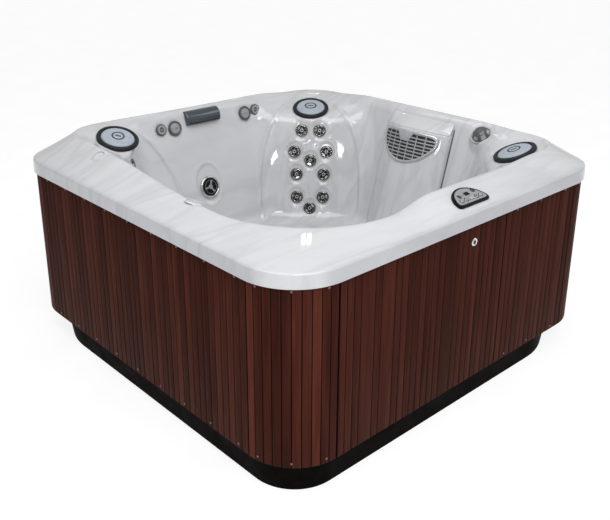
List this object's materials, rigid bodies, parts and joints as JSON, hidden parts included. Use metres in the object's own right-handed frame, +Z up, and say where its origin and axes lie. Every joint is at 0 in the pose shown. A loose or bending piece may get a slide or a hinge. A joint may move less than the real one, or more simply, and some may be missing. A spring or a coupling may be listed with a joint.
{
  "type": "hot tub",
  "caption": "Square acrylic hot tub with a raised back collar, headrests, massage jets, turning knobs, waterfall spout, filter column and a slatted cabinet on a black base pan.",
  "frame": {"origin": "middle of the underside of the base pan", "axes": "+Z up; -Y is the front, with the control panel and the access panel; +X is the side with the filter column"},
  "size_m": [2, 2, 0.987],
  "materials": {
    "acrylic": "pearl white acrylic with faint grey marbling, high gloss",
    "laminate": "fibreglass laminate",
    "foam": "rigid foam",
    "slats": "red-brown vertical slats, satin",
    "base": "black satin",
    "timber": "sawn timber",
    "chrome": "polished, with dark inserts",
    "grey_trim": "metallic grey",
    "spout": "blue-grey metallic",
    "headrest_ring": "charcoal, matt",
    "headrest_pad": "light blue-grey, soft",
    "silver": "silver, satin",
    "black_gloss": "black, glossy",
    "display": "black window",
    "button": "pale grey",
    "button_blue": "blue",
    "button_green": "green",
    "paper": "pleated filter cloth",
    "grey_plastic": "moulded",
    "lens": "frosted clear",
    "motor_paint": "black enamel",
    "steel": "brushed",
    "screw": "pan head"
  },
  "bodies": {
    "tub": {"jet_bodies": "chrome", "valve_bodies": "grey_trim", "headrest_pad_back": "headrest_pad", "headrest_pad_left": "headrest_pad", "headrest_pad_right": "headrest_pad", "headrest_rings": "headrest_ring", "waterfall_spout": "spout", "filter_cover": "acrylic", "filter_grille": "silver", "filter_cartridge": "paper", "control_bezel": "black_gloss", "control_face": "silver", "control_display": "display", "suction_covers": "grey_plastic", "light_lens": "lens", "acrylic_shell": "acrylic", "shell_laminate": "laminate", "rim_core": "foam", "base_pan": "base", "cabinet_frame": "timber", "side_panels": "slats", "front_side_panel": "slats", "corner_panels": "slats", "panel_screws": "screw", "pump_motor": "motor_paint", "pump_wet_end": "motor_paint", "pump_pipes": "grey_plastic", "heater": "steel", "control_box": "grey_plastic", "conduit_gland": "grey_plastic"},
    "back_jet_face_1": {"back_jet_face_1": "chrome"},
    "back_jet_face_2": {"back_jet_face_2": "chrome"},
    "back_jet_face_3": {"back_jet_face_3": "chrome"},
    "back_jet_face_4": {"back_jet_face_4": "chrome"},
    "back_jet_face_5": {"back_jet_face_5": "chrome"},
    "back_jet_face_6": {"back_jet_face_6": "chrome"},
    "back_jet_face_7": {"back_jet_face_7": "chrome"},
    "back_jet_face_8": {"back_jet_face_8": "chrome"},
    "back_jet_face_9": {"back_jet_face_9": "chrome"},
    "back_jet_face_10": {"back_jet_face_10": "chrome"},
    "left_jet_face_1": {"left_jet_face_1": "chrome"},
    "left_jet_face_2": {"left_jet_face_2": "chrome"},
    "power_jet_face": {"power_jet_face": "chrome"},
    "air_knob_left": {"air_knob_left": "grey_trim"},
    "air_knob_right": {"air_knob_right": "grey_trim"},
    "diverter_knob_left": {"diverter_knob_left": "grey_trim"},
    "diverter_knob_right": {"diverter_knob_right": "grey_trim"},
    "selector_dial": {"selector_dial": "grey_trim"},
    "button_jets": {"button_jets": "button_blue"},
    "button_light": {"button_light": "button_green"},
    "button_pump_one": {"button_pump_one": "button"},
    "button_pump_two": {"button_pump_two": "button"},
    "button_temperature": {"button_temperature": "button"},
    "button_mode": {"button_mode": "button"},
    "button_clean": {"button_clean": "button"},
    "filter_lid": {"filter_lid": "acrylic"},
    "access_panel": {"access_panel": "slats", "lock_bezel": "chrome"},
    "lock_barrel": {"lock_barrel": "chrome"},
    "pump_rotor": {"pump_rotor": "steel"}
  },
  "joints": [
    {"name": "back_jet_face_1_turn", "type": "hinge", "parent": "tub", "child": "back_jet_face_1", "pos_m": [0.57439, 0.64793, 0.79], "axis": [-0.69, -0.69, 0.2187], "range_deg": [0, 90]},
    {"name": "back_jet_face_2_turn", "type": "hinge", "parent": "tub", "child": "back_jet_face_2", "pos_m": [0.64793, 0.57439, 0.79], "axis": [-0.69, -0.69, 0.2187], "range_deg": [0, 90]},
    {"name": "back_jet_face_3_turn", "type": "hinge", "parent": "tub", "child": "back_jet_face_3", "pos_m": [0.52638, 0.6579, 0.67], "axis": [-0.69, -0.69, 0.2187], "range_deg": [0, 90]},
    {"name": "back_jet_face_4_turn", "type": "hinge", "parent": "tub", "child": "back_jet_face_4", "pos_m": [0.6579, 0.52638, 0.67], "axis": [-0.69, -0.69, 0.2187], "range_deg": [0, 90]},
    {"name": "back_jet_face_5_turn", "type": "hinge", "parent": "tub", "child": "back_jet_face_5", "pos_m": [0.58422, 0.58422, 0.62], "axis": [-0.69, -0.69, 0.2187], "range_deg": [0, 90]},
    {"name": "back_jet_face_6_turn", "type": "hinge", "parent": "tub", "child": "back_jet_face_6", "pos_m": [0.51583, 0.62756, 0.541], "axis": [-0.69, -0.69, 0.2187], "range_deg": [0, 90]},
    {"name": "back_jet_face_7_turn", "type": "hinge", "parent": "tub", "child": "back_jet_face_7", "pos_m": [0.62756, 0.51583, 0.541], "axis": [-0.69, -0.69, 0.2187], "range_deg": [0, 90]},
    {"name": "back_jet_face_8_turn", "type": "hinge", "parent": "tub", "child": "back_jet_face_8", "pos_m": [0.49719, 0.60467, 0.41], "axis": [-0.69, -0.69, 0.2187], "range_deg": [0, 90]},
    {"name": "back_jet_face_9_turn", "type": "hinge", "parent": "tub", "child": "back_jet_face_9", "pos_m": [0.60467, 0.49719, 0.41], "axis": [-0.69, -0.69, 0.2187], "range_deg": [0, 90]},
    {"name": "back_jet_face_10_turn", "type": "hinge", "parent": "tub", "child": "back_jet_face_10", "pos_m": [0.54063, 0.54063, 0.345], "axis": [-0.69, -0.69, 0.2187], "range_deg": [0, 90]},
    {"name": "left_jet_face_1_turn", "type": "hinge", "parent": "tub", "child": "left_jet_face_1", "pos_m": [-0.54393, 0.68116, 0.805], "axis": [0.6904, -0.6904, 0.2162], "range_deg": [0, 90]},
    {"name": "left_jet_face_2_turn", "type": "hinge", "parent": "tub", "child": "left_jet_face_2", "pos_m": [-0.61465, 0.61045, 0.805], "axis": [0.6904, -0.6904, 0.2162], "range_deg": [0, 90]},
    {"name": "power_jet_face_turn", "type": "hinge", "parent": "tub", "child": "power_jet_face", "pos_m": [-0.007, 0.7725, 0.545], "axis": [0, -0.9635, 0.2676], "range_deg": [0, 90]},
    {"name": "air_knob_left_turn", "type": "hinge", "parent": "tub", "child": "air_knob_left", "pos_m": [-0.246, 0.87, 0.896], "axis": [0, -0.9635, 0.2676], "range_deg": [0, 90]},
    {"name": "air_knob_right_turn", "type": "hinge", "parent": "tub", "child": "air_knob_right", "pos_m": [0.402, 0.87139, 0.901], "axis": [0, -0.9635, 0.2676], "range_deg": [0, 90]},
    {"name": "diverter_knob_left_turn", "type": "hinge", "parent": "tub", "child": "diverter_knob_left", "pos_m": [-0.16, 0.86833, 0.89], "axis": [0, -0.9635, 0.2676], "range_deg": [0, 180]},
    {"name": "diverter_knob_right_turn", "type": "hinge", "parent": "tub", "child": "diverter_knob_right", "pos_m": [0.324, 0.86917, 0.893], "axis": [0, -0.9635, 0.2676], "range_deg": [0, 180]},
    {"name": "selector_dial_turn", "type": "hinge", "parent": "tub", "child": "selector_dial", "pos_m": [0.876, -0.384, 0.915], "axis": [-0.6, 0, 0.8], "range_deg": [0, 180]},
    {"name": "button_jets_slide", "type": "slide", "parent": "tub", "child": "button_jets", "axis": [0, 0.3298, -0.944], "range_m": [0, 0.0012], "stiffness_N_per_m": 500},
    {"name": "button_light_slide", "type": "slide", "parent": "tub", "child": "button_light", "axis": [0, 0.3298, -0.944], "range_m": [0, 0.0012], "stiffness_N_per_m": 500},
    {"name": "button_pump_one_slide", "type": "slide", "parent": "tub", "child": "button_pump_one", "axis": [0, 0.3298, -0.944], "range_m": [0, 0.0012], "stiffness_N_per_m": 500},
    {"name": "button_pump_two_slide", "type": "slide", "parent": "tub", "child": "button_pump_two", "axis": [0, 0.3298, -0.944], "range_m": [0, 0.0012], "stiffness_N_per_m": 500},
    {"name": "button_temperature_slide", "type": "slide", "parent": "tub", "child": "button_temperature", "axis": [0, 0.3298, -0.944], "range_m": [0, 0.0012], "stiffness_N_per_m": 500},
    {"name": "button_mode_slide", "type": "slide", "parent": "tub", "child": "button_mode", "axis": [0, 0.3298, -0.944], "range_m": [0, 0.0012], "stiffness_N_per_m": 500},
    {"name": "button_clean_slide", "type": "slide", "parent": "tub", "child": "button_clean", "axis": [0, 0.3298, -0.944], "range_m": [0, 0.0012], "stiffness_N_per_m": 500},
    {"name": "filter_lid_slide", "type": "slide", "parent": "tub", "child": "filter_lid", "axis": [0.2676, 0, 0.9635], "range_m": [0, 0.09]},
    {"name": "access_panel_slide", "type": "slide", "parent": "tub", "child": "access_panel", "axis": [0, -1, 0], "range_m": [0, 0.16]},
    {"name": "lock_barrel_turn", "type": "hinge", "parent": "access_panel", "child": "lock_barrel", "pos_m": [0.003, -0.988, 0.762], "axis": [0, -1, 0], "range_deg": [0, 90]},
    {"name": "pump_rotor_turn", "type": "hinge", "parent": "tub", "child": "pump_rotor", "pos_m": [-0.289, -0.852, 0.112], "axis": [1, 0, 0], "continuous": true}
  ]
}
